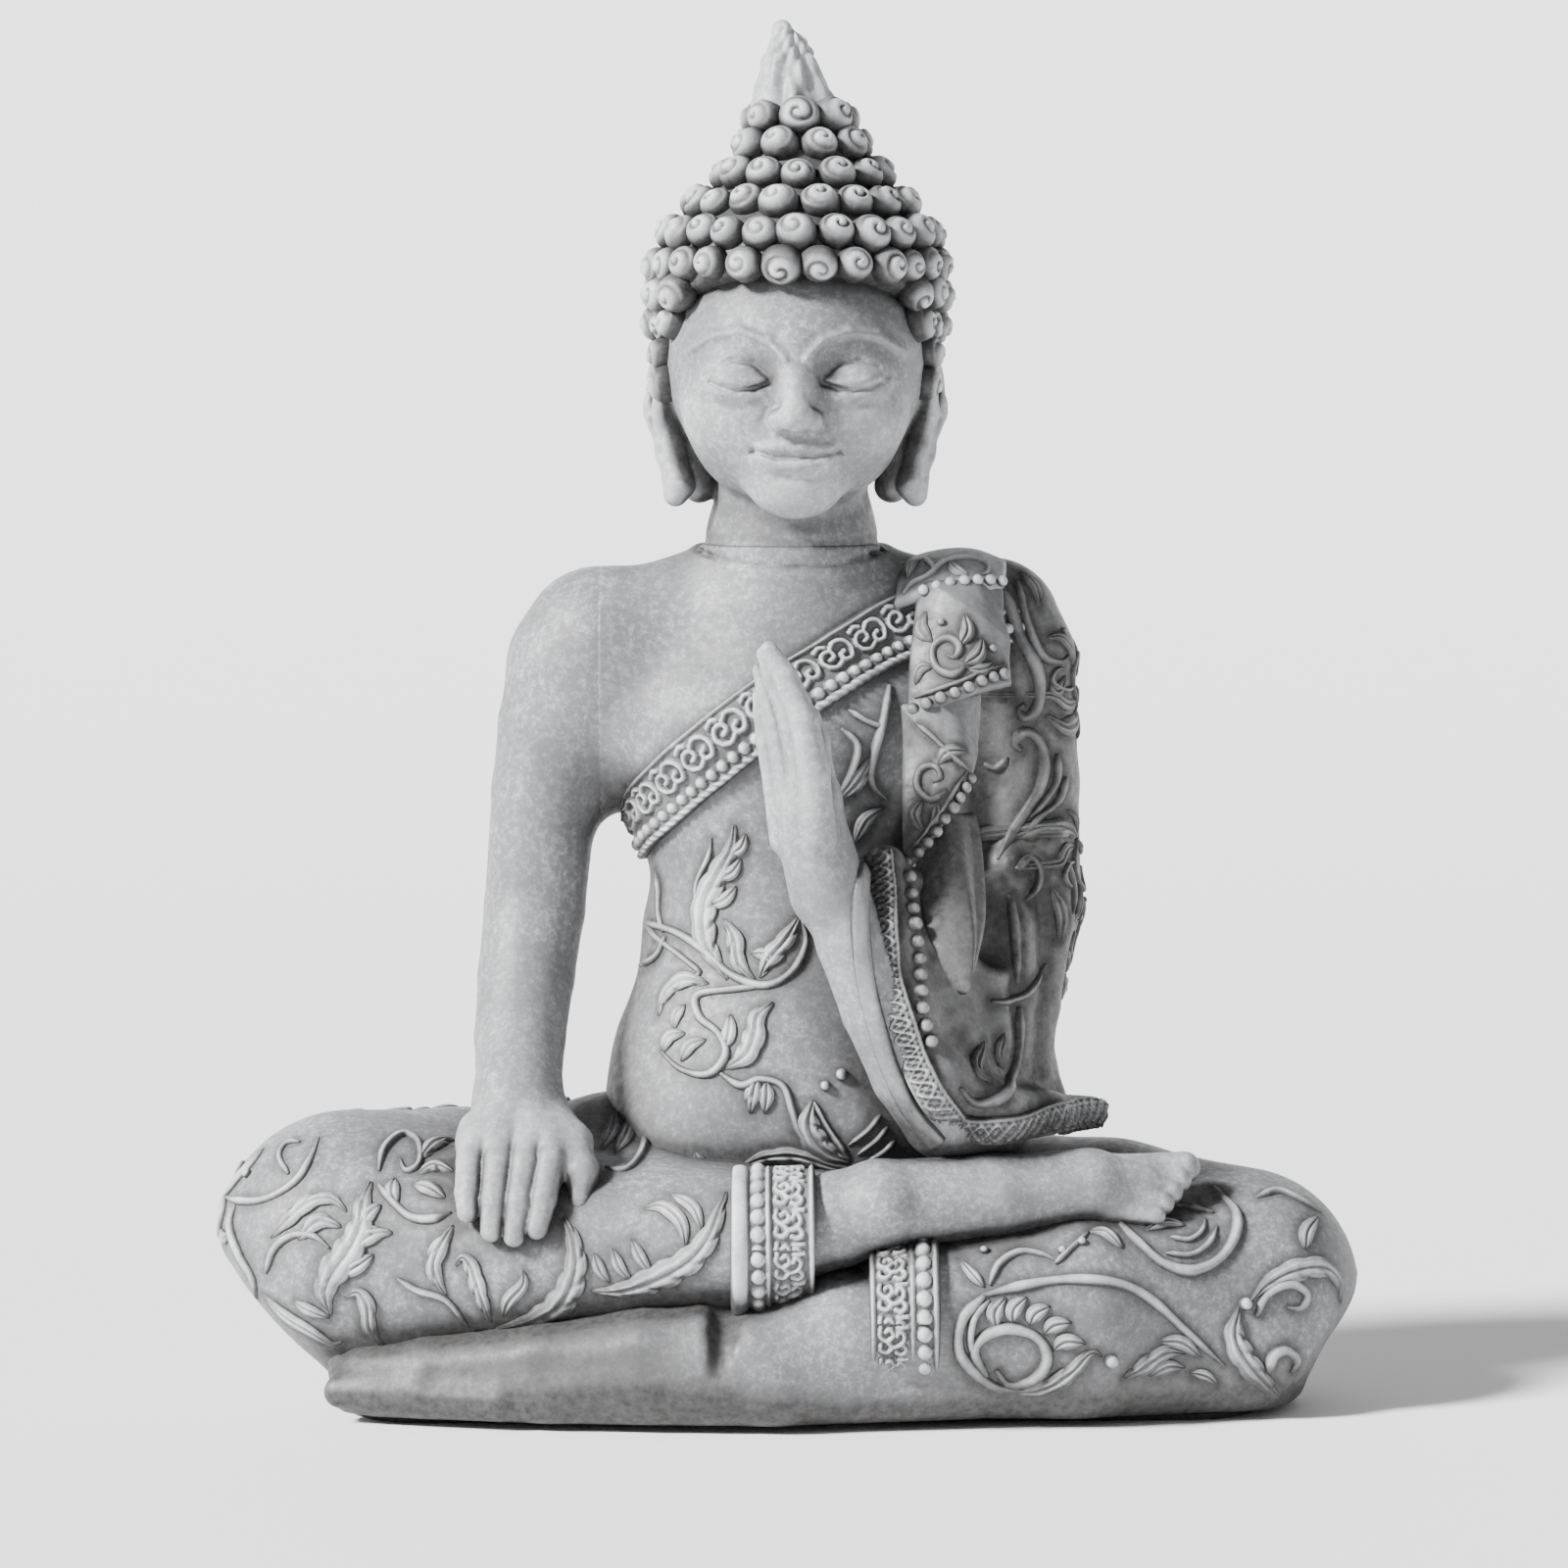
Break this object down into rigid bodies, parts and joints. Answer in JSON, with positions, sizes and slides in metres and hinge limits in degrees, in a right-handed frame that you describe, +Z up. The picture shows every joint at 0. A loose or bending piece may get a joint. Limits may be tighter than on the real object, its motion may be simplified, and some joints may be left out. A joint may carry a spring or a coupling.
{
  "type": "buddha statue",
  "caption": "Seated cross-legged buddha figure in cast stone resin, one hand raised and one on the knee, with a flat felted underside.",
  "frame": {"origin": "centre of the felt's underside, on the surface that the statue stands on", "axes": "+Z up through the flame, -Y the way the figure faces, -X towards the figure's right knee"},
  "size_m": [0.2456, 0.119, 0.2995],
  "materials": {
    "stone_resin": "matt grey with a dark wash in the hollows and pale dry-brushed highlights",
    "dowel_steel": "plain",
    "base_board": "raw hardboard",
    "base_felt": "black felt"
  },
  "bodies": {
    "root": {"lap_and_legs": "stone_resin", "torso": "stone_resin", "head": "stone_resin", "hair_cap": "stone_resin", "flame_finial": "stone_resin", "right_arm": "stone_resin", "right_hand": "stone_resin", "left_sleeve": "stone_resin", "left_forearm": "stone_resin", "left_hand": "stone_resin", "right_foot": "stone_resin", "left_foot": "stone_resin", "chest_band": "stone_resin", "upper_ankle_cuff": "stone_resin", "lower_ankle_cuff": "stone_resin", "shoulder_flap": "stone_resin", "hanging_pleat": "stone_resin", "sleeve_border": "stone_resin", "neck_dowel": "dowel_steel", "flame_dowel": "dowel_steel", "shoulder_dowel": "dowel_steel", "wrist_dowel": "dowel_steel", "base_plate": "base_board", "base_felt": "base_felt"}
  },
  "joints": []
}
